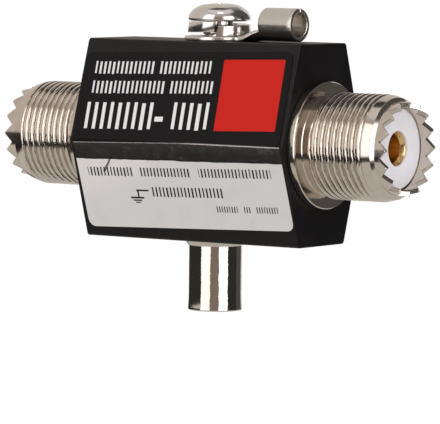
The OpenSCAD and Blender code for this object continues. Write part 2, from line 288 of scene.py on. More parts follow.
@dataclass(frozen=True)
class SatinPaint(Finish):
    """Satin paint with a fine grain and a little dust."""

    colour: Colour = (0.0034, 0.0027, 0.0029)
    worn: Colour = (0.008, 0.007, 0.007)
    roughness: float = 0.46

    def paint(self, graph: Graph) -> None:
        """Fills the material's graph."""
        point, _, _, _ = graph.place()
        grain = graph.noise(point, 5.0, 3.0)
        cloud = graph.noise(point, 0.22, 3.0, 0.6)
        graph.surface(
            Base_Color=graph.blend(cloud.rise(0.42, 0.72) * 0.55, self.colour, self.worn),
            Roughness=self.roughness + (grain - 0.5) * 0.16 + (cloud - 0.5) * 0.12,
            Specular_IOR_Level=0.24,
            Normal=graph.bump(grain, 0.012),
        )


@dataclass(frozen=True)
class TurnedMetal(Finish):
    """Plated metal that was turned on a lathe: fine lines round its axis under the plate."""

    colour: Colour = (0.645, 0.585, 0.52)
    stain: Colour = (0.55, 0.475, 0.41)
    roughness: float = 0.13
    line_depth: float = 0.0016
    ripple: float = 0.01
    axis: Axis = Axis.COAX
    centre: float = 0.0

    def paint(self, graph: Graph) -> None:
        """Fills the material's graph."""
        point, x, y, z = graph.place()
        if self.axis is Axis.COAX:
            across = (y * y + z * z) ** 0.5
            along = x + across
        else:
            side = x - self.centre
            across = (side * side + y * y) ** 0.5
            along = z + across
        lines = graph.lines(along, 9.0, 3.0)
        cloud = graph.noise(point, 0.5, 3.0, 0.6)
        specks = graph.noise(point, 3.4, 2.0)
        graph.surface(
            Base_Color=graph.blend(cloud.rise(0.45, 0.75) * 0.5, self.colour, self.stain),
            Metallic=1.0,
            Roughness=self.roughness + (specks - 0.5) * 0.08 + (lines - 0.5) * 0.06,
            Normal=graph.bump(lines * self.line_depth + cloud * self.ripple),
        )


@dataclass(frozen=True)
class SheetMetal(Finish):
    """Plated sheet or forged metal with soft dents and faint rubbing."""

    colour: Colour = (0.62, 0.58, 0.53)
    stain: Colour = (0.48, 0.44, 0.39)
    roughness: float = 0.2
    dent: float = 0.02

    def paint(self, graph: Graph) -> None:
        """Fills the material's graph."""
        point, x, y, z = graph.place()
        rubbed = graph.lines(y * 0.8 + z * 0.6 + x * 0.1, 11.0, 3.0)
        dents = graph.noise(point, 0.55, 2.0)
        specks = graph.noise(point, 4.0, 3.0)
        graph.surface(
            Base_Color=graph.blend(specks.rise(0.45, 0.8) * 0.45, self.colour, self.stain),
            Metallic=1.0,
            Roughness=self.roughness + (rubbed - 0.5) * 0.1 + (specks - 0.5) * 0.06,
            Normal=graph.bump(dents + rubbed * 0.06, self.dent),
        )


@dataclass(frozen=True)
class WhiteDielectric(Finish):
    """Smooth white plastic with faint turning rings."""

    colour: Colour = (0.90, 0.89, 0.94)
    shade: Colour = (0.80, 0.79, 0.83)

    def paint(self, graph: Graph) -> None:
        """Fills the material's graph."""
        point, x, y, z = graph.place()
        rings = graph.lines((y * y + z * z) ** 0.5 + x, 5.0)
        cloud = graph.noise(point, 0.6, 3.0)
        graph.surface(
            Base_Color=graph.blend(cloud.rise(0.4, 0.75) * 0.4, self.colour, self.shade),
            Roughness=0.42 + (rings - 0.5) * 0.2,
            Specular_IOR_Level=0.4,
            Normal=graph.bump(rings, 0.006),
        )


@dataclass(frozen=True)
class FiredCeramic(Finish):
    """Dull fired ceramic with a fine grain."""

    colour: Colour = (0.72, 0.66, 0.60)
    shade: Colour = (0.60, 0.53, 0.47)

    def paint(self, graph: Graph) -> None:
        """Fills the material's graph."""
        point, _, _, _ = graph.place()
        grain = graph.noise(point, 6.0, 4.0)
        graph.surface(
            Base_Color=graph.blend(grain.rise(0.4, 0.7), self.colour, self.shade),
            Roughness=0.6 + (grain - 0.5) * 0.2,
            Normal=graph.bump(grain, 0.01),
        )


@dataclass(frozen=True)
class PrintRow:
    """A row of plain upright strokes, in label coordinates."""

    middle: float
    height: float
    groups: tuple[tuple[float, float], ...]
    step: float = 0.8
    cover: float = 0.44


@dataclass(frozen=True)
class LabelPrint(Finish):
    """Foil label: black ink and a red block above the fold, bare foil with dark strokes below it."""

    turn: float = 1.75
    slant: float = 0.956
    ink: Colour = (0.0060, 0.0048, 0.0054)
    red: Colour = (0.44, 0.012, 0.0075)
    red_box: tuple[float, float, float, float] = (6.78, 17.65, 1.88, 12.8)
    pale: Colour = (0.60, 0.59, 0.60)
    rubbed_ink: Colour = (0.022, 0.020, 0.020)
    foil: Colour = (0.95, 0.94, 0.97)
    dull_foil: Colour = (0.76, 0.75, 0.76)
    dark_ink: Colour = (0.012, 0.011, 0.011)
    # Colour along the slanted crease line below the fold, darker than the foil.
    crease_dark: Colour = (0.05, 0.05, 0.055)
    print_edge: float = 0.045
    upper_rows: tuple[PrintRow, ...] = (
        PrintRow(11.6, 1.9, ((-16.8, -5.6), (-4.8, 4.8)), 0.8),
        PrintRow(8.55, 1.9, ((-16.8, -3.2), (-2.4, 5.6)), 0.8),
        PrintRow(4.1, 4.1, ((-17.4, -4.35), (-1.45, 5.8)), 1.45, 0.42),
        PrintRow(3.6, 0.75, ((-4.2, -2.7),), 8.4, 1.2),
    )
    lower_rows: tuple[PrintRow, ...] = (
        PrintRow(-4.72, 1.4, ((-17.05, -8.68), (-7.44, 1.86), (3.41, 16.43)), 0.62),
        PrintRow(-7.85, 1.55, ((-5.94, 7.26),), 0.66),
        PrintRow(-10.4, 1.0, ((5.4, 9.45), (10.35, 11.7), (12.6, 16.65)), 0.45),
    )
    earth_bars: tuple[tuple[float, float, float, float], ...] = (
        (-8.75, -6.42, -7.8, -7.52), (-8.6, -8.3, -8.9, -7.66), (-9.95, -7.5, -8.98, -8.68),
        (-9.55, -7.95, -9.36, -9.12), (-9.2, -8.3, -9.68, -9.48),
    )
    fold_edge: float = -2.93
    fold_turn: float = 0.0125
    fold_slope: float = 0.15
    crease_middle: tuple[float, float] = (-13.0, -3.4)
    crease_lean: float = 0.78
    crease_reach: tuple[float, float] = (-4.7, -2.4)
    crease_w: float = 0.4

    @staticmethod
    def _inside(place: Wire, low: float, high: float) -> Wire:
        """How far a place lies inside two edges."""
        return (high - low) / 2 - (place - (low + high) / 2).size()

    def _patch(self, u: Wire, v: Wire, box: tuple[float, float, float, float]) -> Wire:
        """How far a place lies inside a rectangle.

        Args:
            u: Place along the label.
            v: Place up the label.
            box: Left, right, low and high edge.

        Returns:
            Distance in millimetres, below 0 outside.
        """
        return self._inside(u, box[0], box[1]).least(self._inside(v, box[2], box[3]))

    def _edge(self, inside: Wire) -> Wire:
        """Mask of printed ink, with a slightly soft edge, from how far a place lies inside."""
        return inside.rise(-self.print_edge, self.print_edge)

    def _row(self, graph: Graph, u: Wire, v: Wire, row: PrintRow) -> Wire:
        """How far a place lies inside the strokes of a row.

        Args:
            graph: Graph to fill.
            u: Place along the label.
            v: Place up the label.
            row: The row.

        Returns:
            Distance in millimetres, below 0 outside.
        """
        count = u / row.step
        uneven = graph.lines(count.whole(), 0.73, 0.0) - 0.5
        across = reduce(Wire.most, [self._inside(u, *group) for group in row.groups])
        up = row.height / 2 - (v - row.middle + uneven * 0.12 * row.height).size()
        stroke = (row.cover / 2 + uneven * 0.1 - (count.part() - 0.5).size()) * row.step
        return across.least(up).least(stroke)

    def paint(self, graph: Graph) -> None:
        """Fills the material's graph."""
        point, x, _, z = graph.place()
        cos, sin = math.cos(math.radians(self.turn)), math.sin(math.radians(self.turn))
        s = z * (1 / self.slant)
        u = x * cos + s * sin
        v = s * cos - x * sin
        grain = graph.noise(point, 4.0, 3.0)
        cloud = graph.noise(point, 0.35, 3.0, 0.6)
        wave = graph.lines(u, 0.22, 2.0)

        printed = (v.most(s - 0.1) + (grain - 0.5) * 0.12).rise(-0.12, 0.04)
        chips = grain.rise(0.62, 0.8) * 0.3
        red = self._edge(self._patch(u, v, self.red_box) - chips)
        strokes, marks = (
            reduce(Wire.most, [self._row(graph, u, v, row) for row in rows])
            for rows in (self.upper_rows, self.lower_rows)
        )
        marks = reduce(Wire.most, [self._patch(u, v, box) for box in self.earth_bars], marks)
        strokes, marks = self._edge(strokes), self._edge(marks)
        middle_u, middle_v = self.crease_middle
        off = (u - middle_u - (v - middle_v) * self.crease_lean).size()
        crease = (self.crease_w / 2 - off).least(self._inside(v, *self.crease_reach))
        crease = (crease + (grain - 0.5) * 0.5).rise(-0.15, 0.1)

        upper = graph.blend(grain.rise(0.55, 0.8) * 0.25, self.ink, self.rubbed_ink)
        upper = graph.blend(strokes, upper, self.pale)
        upper = graph.blend(red, upper, self.red)
        lower = graph.blend(cloud.rise(0.45, 0.75) * 0.2, self.foil, self.dull_foil)
        # Darker along the slanted crease line below the fold.
        lower = graph.blend(crease * 0.85, lower, self.crease_dark)
        lower = graph.blend(marks, lower, self.dark_ink)

        bare = (1.0 - printed) * (1.0 - marks)
        over = (v + (u * self.fold_turn - self.fold_edge) + (wave - 0.5) * 0.35).most(0.0)
        drop = over * over / (over + 0.1) * self.fold_slope * (1.0 - printed)
        blot = graph.noise(point, 0.7, 1.0).rise(0.4, 0.75) * over.rise(0.05, 0.4) * bare
        graph.surface(
            Base_Color=graph.blend(printed, lower, upper),
            Metallic=bare,
            Roughness=0.07 + (1.0 - bare) * 0.33 + (grain - 0.5) * 0.04 + blot * 0.06,
            Specular_IOR_Level=0.1,
            Normal=graph.bump(grain * 0.008 - drop),
        )


# Meshes


def settled(mesh: Mesh) -> Mesh:
    """Joins points that lie on each other and turns all faces outwards."""
    work = bmesh.new()
    work.from_mesh(mesh)
    bmesh.ops.remove_doubles(work, verts=work.verts, dist=1e-8)
    bmesh.ops.recalc_face_normals(work, faces=work.faces)
    work.to_mesh(mesh)
    work.free()
    return mesh


def woven(name: str, rows: np.ndarray, loop: bool, capped: bool = False) -> Mesh:
    """Skin over rows of points that each run once round the piece.

    Args:
        name: Name of the mesh.
        rows: Points in millimetres, as rows, points per row and coordinates.
        loop: Whether the last row joins the first.
        capped: Whether the first and the last row are closed by a face.

    Returns:
        The mesh, in metres.
    """
    count, width = rows.shape[:2]
    first = np.arange(count if loop else count - 1)[:, None] * width
    second = (np.arange(1, count + 1 if loop else count) % count)[:, None] * width
    here = np.arange(width)[None, :]
    there = (here + 1) % width
    corners = [first + here, first + there, second + there, second + here]
    faces = np.stack(corners, axis=-1).reshape(-1, 4).tolist()
    if capped:
        faces += [list(range(width))[::-1], list(range((count - 1) * width, count * width))]
    mesh = bpy.data.meshes.new(name)
    mesh.from_pydata((rows.reshape(-1, 3) * MM).tolist(), [], faces)
    return settled(mesh)


def circle(count: int) -> np.ndarray:
    """Evenly spaced angles round a circle."""
    return np.arange(count) * 2 * math.pi / count


def carved(mesh: Mesh, cutters: Sequence[Mesh]) -> Mesh:
    """Cuts meshes out of a mesh.

    Args:
        mesh: What is cut.
        cutters: Closed meshes that are taken away.

    Returns:
        The cut mesh.
    """
    made = [bpy.data.objects.new("cut", shape) for shape in (mesh, *cutters)]
    for item in made:
        bpy.context.scene.collection.objects.link(item)
    for tool in made[1:]:
        step = made[0].modifiers.new("cut", "BOOLEAN")
        step.operation, step.solver, step.object = "DIFFERENCE", "EXACT", tool
    result = baked(made[0])
    for item in made:
        bpy.data.objects.remove(item)
    return result


def baked(item: bpy.types.Object) -> Mesh:
    """Mesh of an object with its modifiers applied."""
    graph = bpy.context.evaluated_depsgraph_get()
    return bpy.data.meshes.new_from_object(item.evaluated_get(graph))


def placed(x: float, z: float, turn: float) -> Matrix:
    """Matrix that turns a mesh about Z by degrees and moves it along X and Z."""
    return Matrix.Translation((x * MM, 0, z * MM)) @ Matrix.Rotation(math.radians(turn), 4, "Z")


def on_circle(r: float, angle: float) -> tuple[float, float]:
    """Point of a circle at an angle in degrees."""
    return r * math.cos(math.radians(angle)), r * math.sin(math.radians(angle))


def arc(centre: tuple[float, float], r: float, start: float, end: float, steps: int) -> Profile:
    """Points of an arc, with its angles in degrees from the first coordinate to the second."""
    angles = [math.radians(start + (end - start) * k / steps) for k in range(steps + 1)]
    return [(centre[0] + r * math.cos(a), centre[1] + r * math.sin(a)) for a in angles]


def softened(points: Profile, reach: float, steps: int = 4) -> Profile:
    """Rounds the corners of an open outline.

    Args:
        points: Points of the outline.
        reach: How far from a corner its round starts.
        steps: Pieces of each round.

    Returns:
        The outline with its ends kept.
    """
    ends = [Vector(point) for point in points]
    made: Profile = [points[0]]
    for before, corner, after in zip(ends, ends[1:], ends[2:]):
        start = corner + (before - corner).normalized() * reach
        end = corner + (after - corner).normalized() * reach
        for k in range(steps + 1):
            t = k / steps
            made.append(tuple(start * (1 - t) ** 2 + corner * 2 * t * (1 - t) + end * t**2))
    return [*made, points[-1]]


@dataclass(frozen=True)
class ThreadForm:
    """Screw thread with straight flanks and crests that are worn round down to a shoulder."""

    pitch: float
    depth: float
    front_r: float = 0.12
    rear_r: float = 0.12
    crest: float = 0.06
    shoulder: float = 24.0
    flank: float = 63.0

    def _side(self, round_r: float) -> Profile:
        """One side of a ridge, from the edge of its flat crest down to the root, as places and depths."""
        points = [
            (round_r * math.sin(a), round_r * (1 - math.cos(a)))
            for a in np.radians(np.linspace(0, self.shoulder, 6))
        ]
        x, d = points[-1]
        return points + [(x + (self.depth - d) / math.tan(math.radians(self.flank)), self.depth)]

    def dip(self, turns: np.ndarray) -> np.ndarray:
        """How far the surface lies below the crests.

        Args:
            turns: Place in the thread, counted in pitches, whole in the middle of a root.

        Returns:
            Depth in millimetres.
        """
        rear, front = self._side(self.rear_r), self._side(self.front_r)
        root = (self.pitch - self.crest - rear[-1][0] - front[-1][0]) / 2
        top = root + rear[-1][0]
        ridge = [(top - x, d) for x, d in reversed(rear)] + [(top + self.crest + x, d) for x, d in front]
        places, depths = zip((0.0, self.depth), *ridge, (self.pitch, self.depth))
        return np.interp(turns % 1.0 * self.pitch, places, depths)


class Lathe:
    """Rows of a turned skin, each with a radius and a place on the axis at every angle."""

    def __init__(self, angles: np.ndarray) -> None:
        """Starts without rows."""
        self.angles = angles
        self.ones = np.ones_like(angles)
        self.turns = angles / (2 * math.pi)
        self.radius: list[np.ndarray] = []
        self.along: list[np.ndarray] = []

    def add(self, r: Union[float, np.ndarray], place: Union[float, np.ndarray]) -> None:
        """Adds a row."""
        self.radius.append(r * self.ones)
        self.along.append(place * self.ones)

    def add_thread(self, form: ThreadForm, crest_r: float, start: float, end: float) -> None:
        """Adds the rows of a thread that runs out at both ends.

        Args:
            form: Form of the thread.
            crest_r: Radius over its crests.
            start: Place of its first row.
            end: Place of its last row.
        """
        runout_l, rows_per_turn = 0.5, 12
        root = crest_r - form.depth
        for place in np.linspace(start, end, int(abs(start - end) / form.pitch * rows_per_turn)):
            fade = np.clip(min(abs(place - start), abs(end - place)) / runout_l, 0, 1)
            dip = form.dip(place / form.pitch - self.turns)
            self.add(root + (form.depth - dip) * fade, place)

    def add_all(self, profile: Profile) -> None:
        """Adds rows that are the same all round, from points as radius and place on the axis."""
        for r, place in profile:
            self.add(r, place)

    def skin(self, name: str, axis: Axis, centre: float = 0.0, loop: bool = False) -> Mesh:
        """Mesh over the rows.

        Args:
            name: Name of the mesh.
            axis: Line that it is turned about.
            centre: X of an upright axis.
            loop: Whether the last row joins the first.

        Returns:
            The mesh.
        """
        r, along = np.array(self.radius), np.array(self.along)
        cos, sin = r * np.cos(self.angles), r * np.sin(self.angles)
        rows = [along, sin, cos] if axis is Axis.COAX else [centre + cos, sin, along]
        return woven(name, np.stack(rows, axis=-1), loop)


def lathed(
    name: str, profile: Profile, columns: int, axis: Axis, centre: float = 0.0, loop: bool = False
) -> Mesh:
    """Turned mesh from a profile that is the same all round.

    Args:
        name: Name of the mesh.
        profile: Points as radius and place on the axis.
        columns: Points round the axis.
        axis: Line that it is turned about.
        centre: X of an upright axis.
        loop: Whether the profile closes on itself, away from the axis.

    Returns:
        The mesh.
    """
    rows = Lathe(circle(columns))
    rows.add_all(profile)
    return rows.skin(name, axis, centre, loop)


class Sheet:
    """Points and faces of a bent sheet without thickness, in millimetres, made row by row."""

    def __init__(self) -> None:
        """Starts without rows."""
        self.points: list[Point] = []
        self.faces: list[list[int]] = []

    def row(self, points: Sequence[Point]) -> list[int]:
        """Adds points and returns their numbers."""
        start = len(self.points)
        self.points += points
        return list(range(start, len(self.points)))

    def join(self, first: list[int], second: list[int], closed: bool = False) -> None:
        """Adds the faces between two rows.

        Args:
            first: Numbers of the points of a row.
            second: Numbers of the next row's points.
            closed: Whether the rows run once round.
        """
        count = len(first)
        for j in range(count if closed else count - 1):
            k = (j + 1) % count
            self.faces.append([first[j], first[k], second[k], second[j]])

    def thickened(self, name: str, thickness: float, edge: float) -> Mesh:
        """Mesh of the sheet with a thickness and rounded edges.

        Args:
            name: Name of the mesh.
            thickness: Thickness, half of it on each side.
            edge: Width of the rounds.

        Returns:
            The mesh, in metres.
        """
        mesh = bpy.data.meshes.new(name)
        mesh.from_pydata([tuple(c * MM for c in p) for p in self.points], [], self.faces)
        item = bpy.data.objects.new(name, settled(mesh))
        bpy.context.scene.collection.objects.link(item)
        thick = item.modifiers.new("thick", "SOLIDIFY")
        thick.thickness, thick.offset, thick.use_even_offset = thickness * MM, 0.0, True
        soft = item.modifiers.new("soft", "BEVEL")
        soft.width, soft.segments = edge * MM, 4
        soft.limit_method, soft.angle_limit = "ANGLE", math.radians(50)
        result = baked(item)
        bpy.data.objects.remove(item)
        return result


# Sub-assemblies


@dataclass
class SubAssembly:
    """Pieces that belong together."""

    frame: dict
    made: list[str] = field(default_factory=list)

    def piece(
        self,
        name: str,
        mesh: Mesh,
        body: str,
        node: str,
        slot: str,
        finish: Material,
        sharp: float,
    ) -> None:
        """Adds a piece that takes the place of a CAD node.

        Args:
            name: Name of the piece.
            mesh: Its mesh.
            body: Body that it rides on.
            node: CAD node that it replaces.
            slot: Material slot of the record; not used.
            finish: Its material.
            sharp: Angle in degrees from which an edge stays sharp.
        """
        mesh.name = name
        mesh.materials.clear()
        mesh.materials.append(finish)
        mesh.polygons.foreach_set("use_smooth", [True] * len(mesh.polygons))
        mesh.set_sharp_from_angle(angle=math.radians(sharp))
        made = bpy.data.objects.new(name, mesh)
        bpy.context.scene.collection.objects.link(made)
        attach(made, body)
        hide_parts(node)
        self.made.append(name)

    def dress_node(self, node: str, finish: Material) -> None:
        """Gives a CAD node that stays its material."""
        shape = self.frame["nodes"][node]
        if not shape.material_slots:
            shape.data.materials.append(finish)
        for place in shape.material_slots:
            place.material = finish
        self.made.append(node)


@dataclass
class Block(SubAssembly):
    """The six-sided block and its label."""

    length: float = 38.6
    top: float = 15.0
    flat_w: float = 12.2
    ridge_w: float = 21.4
    edge_r: float = 0.6
    end_bevel: float = 0.08
    cavity_r: float = 6.3
    seat_r: float = 7.4
    seat_l: float = 6.02
    screw_x: float = 0.55
    screw_hole_r: float = 2.5
    screw_hole_z: float = 9.35
    drill_point: float = 1.2
    cap_x: float = 0.25
    cap_hole_r: float = 4.0
    cap_hole_z: float = 0.02
    label_t: float = 0.12
    label_end: float = 18.8
    label_up: float = 13.4
    label_down: float = 13.0
    label_corner_r: float = 1.2
    label_turn: float = 1.7
    fold_half: float = 0.21
    fold_rows: int = 4
    flat_levels: tuple[float, ...] = (1.5, 3, 5, 7, 9, 11)

    def section(self, inset: float) -> Profile:
        """Rounded outline of the block as width and height points."""
        half_flat, half_ridge = self.flat_w / 2, self.ridge_w / 2
        corners = [
            Vector(p)
            for p in (
                (half_flat, self.top), (-half_flat, self.top), (-half_ridge, 0),
                (-half_flat, -self.top), (half_flat, -self.top), (half_ridge, 0),
            )
        ]
        points: Profile = []
        for i, corner in enumerate(corners):
            back = (corners[i - 1] - corner).normalized()
            ahead = (corners[(i + 1) % 6] - corner).normalized()
            half = back.angle(ahead) / 2
            centre = corner + (back + ahead).normalized() * self.edge_r / math.sin(half)
            start = corner + back * self.edge_r / math.tan(half) - centre
            first = math.degrees(math.atan2(start.y, start.x))
            last = first + 180 - 2 * math.degrees(half)
            points += arc(tuple(centre), self.edge_r - inset, first, last, 7)
        return points

    def build_body(self) -> Mesh:
        """Block with its cavity, the sockets' seats and the holes for the screw and the cap."""
        end, bevel = self.length / 2, self.end_bevel
        rows = []
        for x, inset in ((-end, bevel), (-end + bevel, 0.0), (end - bevel, 0.0), (end, bevel)):
            rows.append([(x, y, z) for y, z in self.section(inset)])
        block = woven("block", np.array(rows), loop=False, capped=True)
        spare = 1.0
        cavity = lathed(
            "cavity",
            [
                (0, -end - spare), (self.seat_r, -end - spare), (self.seat_r, -end + self.seat_l),
                (self.cavity_r, -end + self.seat_l), (self.cavity_r, end - self.seat_l),
                (self.seat_r, end - self.seat_l), (self.seat_r, end + spare), (0, end + spare),
            ],
            96, Axis.COAX,
        )
        screw_hole = lathed(
            "screw_hole",
            [
                (0, self.screw_hole_z - self.drill_point), (self.screw_hole_r, self.screw_hole_z),
                (self.screw_hole_r, self.top + spare), (0, self.top + spare),
            ],
            48, Axis.UPRIGHT, self.screw_x,
        )
        cap_hole = lathed(
            "cap_hole",
            [
                (0, -self.top - spare), (self.cap_hole_r, -self.top - spare),
                (self.cap_hole_r, self.cap_hole_z), (0, self.cap_hole_z),
            ],
            72, Axis.UPRIGHT, self.cap_x,
        )
        return carved(block, [cavity, screw_hole, cap_hole])

    def face_y(self, z: float, lift: float) -> float:
        """Y of the front faces, or of a skin on them, at a height."""
        lean = math.atan((self.ridge_w - self.flat_w) / 2 / self.top)
        r = self.edge_r + lift
        centre = self.ridge_w / 2 - self.edge_r / math.cos(lean)
        if abs(z) < r * math.sin(lean):
            return -(centre + math.sqrt(r * r - z * z))
        return -(self.ridge_w / 2 + lift / math.cos(lean) - abs(z) * math.tan(lean))

    def build_label(self) -> Mesh:
        """Foil folded over the front ridge, as a thin closed sheet."""
        r, end, up, down = self.label_corner_r, self.label_end, self.label_up, -self.label_down
        outline = (
            arc((end - r, up - r), r, 0, 90, 8) + arc((r - end, up - r), r, 90, 180, 8)
            + arc((r - end, down + r), r, 180, 270, 8) + arc((end - r, down + r), r, 270, 360, 8)
        )
        work = bmesh.new()
        turn = Matrix.Rotation(-math.radians(self.label_turn), 3, "Y")
        work.faces.new([work.verts.new(turn @ Vector((x, 0.0, z))) for x, z in outline])
        levels = [self.fold_half * k / self.fold_rows for k in range(-self.fold_rows, self.fold_rows + 1)]
        levels += [-level for level in reversed(self.flat_levels)] + list(self.flat_levels)
        for level in levels:
            everything = work.verts[:] + work.edges[:] + work.faces[:]
            bmesh.ops.bisect_plane(
                work, geom=everything, dist=1e-6, plane_co=(0, 0, level), plane_no=(0, 0, 1)
            )
        work.verts.index_update()
        flat = [v.co.copy() for v in work.verts]
        count = len(flat)
        points = [
            (p.x * MM, self.face_y(p.z, lift) * MM, p.z * MM) for lift in (self.label_t, 0.0) for p in flat
        ]
        faces = [[v.index for v in f.verts] for f in work.faces]
        faces += [[v.index + count for v in reversed(f.verts)] for f in work.faces]
        for edge in work.edges:
            if edge.is_boundary:
                a, b = (v.index for v in edge.verts)
                faces.append([a, b, b + count, a + count])
        work.free()
        mesh = bpy.data.meshes.new("label")
        mesh.from_pydata(points, [], faces)
        return settled(mesh)

    def dress(self, paint: Material, print_: Material) -> None:
        """Adds the block and the label with their finishes."""
        self.piece("block_painted", self.build_body(), "housing", "body", "black_body", paint, 30)
        self.piece("label_print", self.build_label(), "housing", "label", "label_foil", print_, 30)


@dataclass
class SocketEnd(SubAssembly):
    """A coax socket: threaded and toothed shell, insulator and centre contact."""

    side: Side = Side.RIGHT
    body_end: float = 19.3
    flange_r: float = 9.45
    flange_t: float = 1.2
    flange_bevel: float = 0.12
    relief_r: float = 7.35
    relief_l: float = 1.1
    relief_fillet: float = 0.1
    thread_r: float = 7.9375
    thread_l: float = 9.0
    thread: ThreadForm = ThreadForm(25.4 / 24, 0.45, 0.38, 0.85, 0.03)
    runout_start: float = 0.7
    runout_l: float = 0.7
    rows_per_turn: int = 24
    nose_l: float = 3.5
    crown_l: float = 1.2
    crown_lead: float = 0.6
    crown_drop: float = 0.42
    crown_power: float = 1.4
    chamfer_l: float = 0.4
    neck_r: float = 6.9
    corner_r: float = 0.05
    tooth_edge: float = 0.06
    teeth: int = 16
    tooth_depth: float = 1.22
    tooth_columns: tuple[float, ...] = (0, 2.4, 4.8, 7.2, 9.4, 10.41, 11.25, 12.09, 13.1, 15.3, 17.7, 20.1)
    mouth_r: float = 6.15
    seat_r: float = 6.0
    spigot_r: float = 7.38
    spigot_l: float = 6.0
    recess: float = 2.15
    insulator_r: float = 5.98
    insulator_l: float = 15.3
    insulator_edge: float = 0.06
    contact_gap: float = 0.02
    contact_r: float = 2.6
    contact_edge: float = 0.05
    bore_r: float = 2.0
    bore_l: float = 10.0
    drill_point: float = 0.9
    bore_edge: tuple[float, float] = (0.05, 0.12)
    countersink_r: float = 2.45
    countersink_l: float = 0.65
    countersink_edge: float = 0.04
    setback: float = 0.3
    shoulder_r: float = 3.3
    shoulder_t: float = 1.0
    tail_r: float = 2.8
    tail_l: float = 3.6
    tail_bevel: float = 0.2
    rod_hole_r: float = 2.02
    rod_hole_l: float = 3.2

    def __post_init__(self) -> None:
        """Works out the places along the coax line."""
        self.seat_x = self.body_end + self.flange_t
        self.relief_x = self.seat_x + self.relief_l
        self.thread_end = self.relief_x + self.thread_r - self.relief_r + self.thread_l
        self.crown_end = self.thread_end + self.crown_l
        self.neck_x = self.crown_end + self.chamfer_l
        self.tip = self.thread_end + self.nose_l
        self.face = self.tip - self.recess
        self.back = self.face - self.insulator_l

    def _crest_r(self, x: float) -> float:
        """Radius over the crests and over the crowned band in front of them."""
        start = self.thread_end - self.crown_lead
        t = min(1.0, max(0.0, (x - start) / (self.crown_end - start)))
        return self.thread_r - self.crown_drop * t**self.crown_power

    def _tooth_x(self, r: np.ndarray, angles: np.ndarray) -> np.ndarray:
        """Place of the toothed edge at a radius and an angle."""
        pitch = 2 * math.pi / self.teeth
        off = (angles + pitch) % pitch - pitch / 2
        return np.minimum(self.tip, self.tip - self.tooth_depth + r * np.abs(np.sin(off)))

    def build_shell(self) -> Mesh:
        """Shell with its flange, cut thread, crowned nose and milled teeth."""
        pitch = 360 / self.teeth
        columns = np.array(self.tooth_columns)
        angles = np.radians(np.concatenate([pitch * (k + 0.5) + columns for k in range(self.teeth)]))
        rows = Lathe(angles)
        edge = self.tooth_edge
        inner = self._tooth_x(self.mouth_r * rows.ones, angles) - edge
        for t in (0.0, 0.5, 1.0):
            rows.add(self.mouth_r, self.face + (inner - self.face) * t)
        for r in np.linspace(self.mouth_r + edge, self.neck_r - edge, 4):
            rows.add(r, self._tooth_x(r * rows.ones, angles))
        outer = self._tooth_x(self.neck_r * rows.ones, angles) - edge
        neck = self.neck_x + 2 * self.corner_r
        for t in (1.0, 0.75, 0.5, 0.25):
            rows.add(self.neck_r, neck + (outer - neck) * t)
        crown = self.crown_end - 2 * self.corner_r
        corners = [
            (self.neck_r, neck), (self.neck_r, self.neck_x),
            (self._crest_r(self.crown_end), self.crown_end), (self._crest_r(crown), crown),
        ]
        rows.add_all(softened(corners, self.corner_r)[:-1])
        count = int((crown - self.relief_x) / self.thread.pitch * self.rows_per_turn)
        for x in np.linspace(crown, self.relief_x, count):
            fade = 1.0 - min(1.0, max(0.0, (x - self.thread_end + self.runout_start) / self.runout_l))
            cut = self.thread.dip(x / self.thread.pitch + rows.turns) * fade
            rows.add(np.minimum(self._crest_r(x) - cut, self.relief_r + x - self.relief_x), x)
        bevel, fillet = self.flange_bevel, self.relief_fillet
        rows.add_all([
            (self.relief_r, self.seat_x + fillet), (self.relief_r + fillet, self.seat_x),
            (self.flange_r - bevel, self.seat_x), (self.flange_r, self.seat_x - bevel),
            (self.flange_r, self.body_end + bevel), (self.flange_r - bevel, self.body_end),
            (self.spigot_r, self.body_end), (self.spigot_r, self.body_end - self.spigot_l),
            (self.seat_r, self.body_end - self.spigot_l), (self.seat_r, self.face),
        ])
        return rows.skin("shell", Axis.COAX, loop=True)

    def build_insulator(self) -> Mesh:
        """White insulator with a small round on its edges."""
        hole, edge = self.contact_r + self.contact_gap, self.insulator_edge
        profile = (
            [(hole, self.back), (self.insulator_r, self.back)]
            + arc((self.insulator_r - edge, self.face - edge), edge, 0, 90, 4)
            + arc((hole + edge, self.face - edge), edge, 90, 180, 4)
        )
        return lathed("insulator", profile, 96, Axis.COAX, loop=True)

    def build_contact(self) -> Mesh:
        """Gold plated contact: bored tube in front, shoulder and a socket for the inner conductor behind."""
        front = self.face - self.setback
        mouth = front - self.countersink_l
        bottom = mouth - self.bore_l
        shoulder = self.back - self.shoulder_t
        tail = shoulder - self.tail_l
        edge, rim, bevel = self.contact_edge, self.countersink_edge, self.tail_bevel
        profile = [
            (0, bottom - self.drill_point), (self.bore_r, bottom), (self.bore_r, mouth),
            (self.bore_r + self.bore_edge[0], mouth + self.bore_edge[1]),
            (self.countersink_r, front - rim), (self.countersink_r + rim, front),
            (self.contact_r - edge, front), (self.contact_r, front - edge), (self.contact_r, self.back),
            (self.shoulder_r, self.back), (self.shoulder_r, shoulder), (self.tail_r, shoulder),
            (self.tail_r, tail + bevel), (self.tail_r - bevel, tail), (self.rod_hole_r, tail),
            (self.rod_hole_r, tail + self.rod_hole_l), (0, tail + self.rod_hole_l),
        ]
        return lathed("contact", profile, 96, Axis.COAX)

